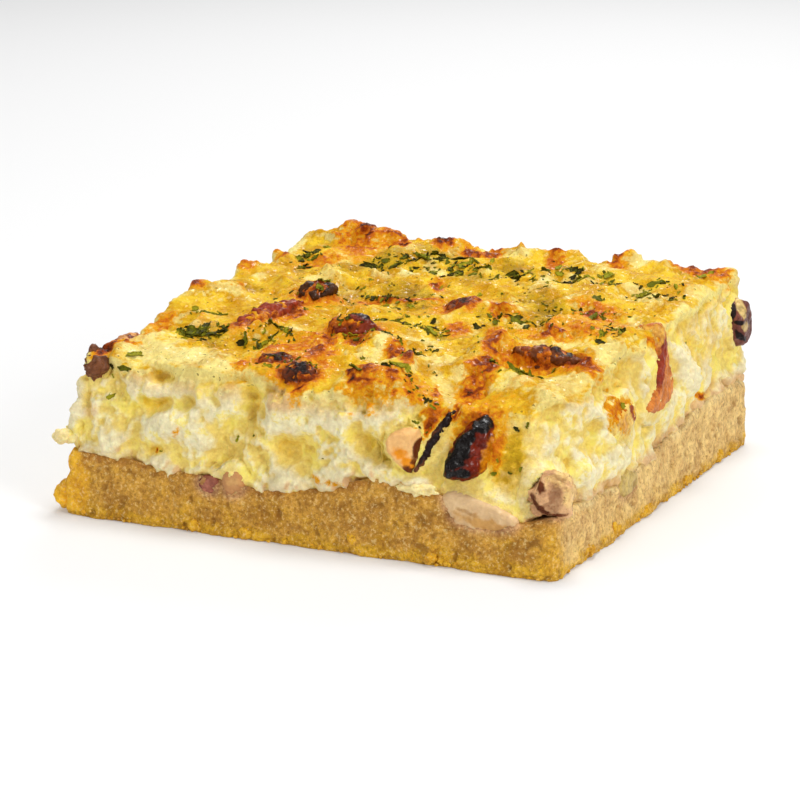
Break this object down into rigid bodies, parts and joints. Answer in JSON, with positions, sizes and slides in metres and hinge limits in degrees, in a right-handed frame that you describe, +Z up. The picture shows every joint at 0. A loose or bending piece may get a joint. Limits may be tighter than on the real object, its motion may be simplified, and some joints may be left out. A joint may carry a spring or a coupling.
{
  "type": "onion tart slice",
  "caption": "Square slice of baked onion tart: thick short-crust base, deep curdled egg and cheese filling, browned top with onion, mushroom, bacon and parsley.",
  "frame": {"origin": "middle of the pastry's underside", "axes": "+Z up out of the baked top; X and Y along the sides of the square; the slumped corner with the mushroom is at +X -Y"},
  "size_m": [0.1049, 0.1047, 0.0399],
  "materials": {
    "pastry": "matt, sandy short crust, golden along its lower edge",
    "filling": "moist curds at the cut, browned and slightly greasy skin",
    "pale_flesh": "moist, satin",
    "mushroom": "moist, satin",
    "char": "glossy, burnt",
    "cured_meat": "moist, satin",
    "cooked_onion": "translucent, glossy"
  },
  "bodies": {
    "root": {"pastry": "pastry", "filling": "filling", "chicken_chunk": "pale_flesh", "mushroom_edge": "mushroom", "corner_mushroom": "mushroom", "mushroom_left": "mushroom", "mushroom_rind": "mushroom", "mushroom_slice": "mushroom", "brown_slice": "mushroom", "charred_onion": "char", "charred_tip": "char", "charred_strip": "char", "charred_front": "char", "charred_leaf": "char", "bacon_strip": "cured_meat", "dark_chunk": "cured_meat", "red_strip": "cured_meat", "red_onion_left": "cooked_onion", "red_onion_right": "cooked_onion", "onion_layer": "cooked_onion", "onion_sliver": "cooked_onion", "onion_bit_right": "cooked_onion"}
  },
  "joints": []
}
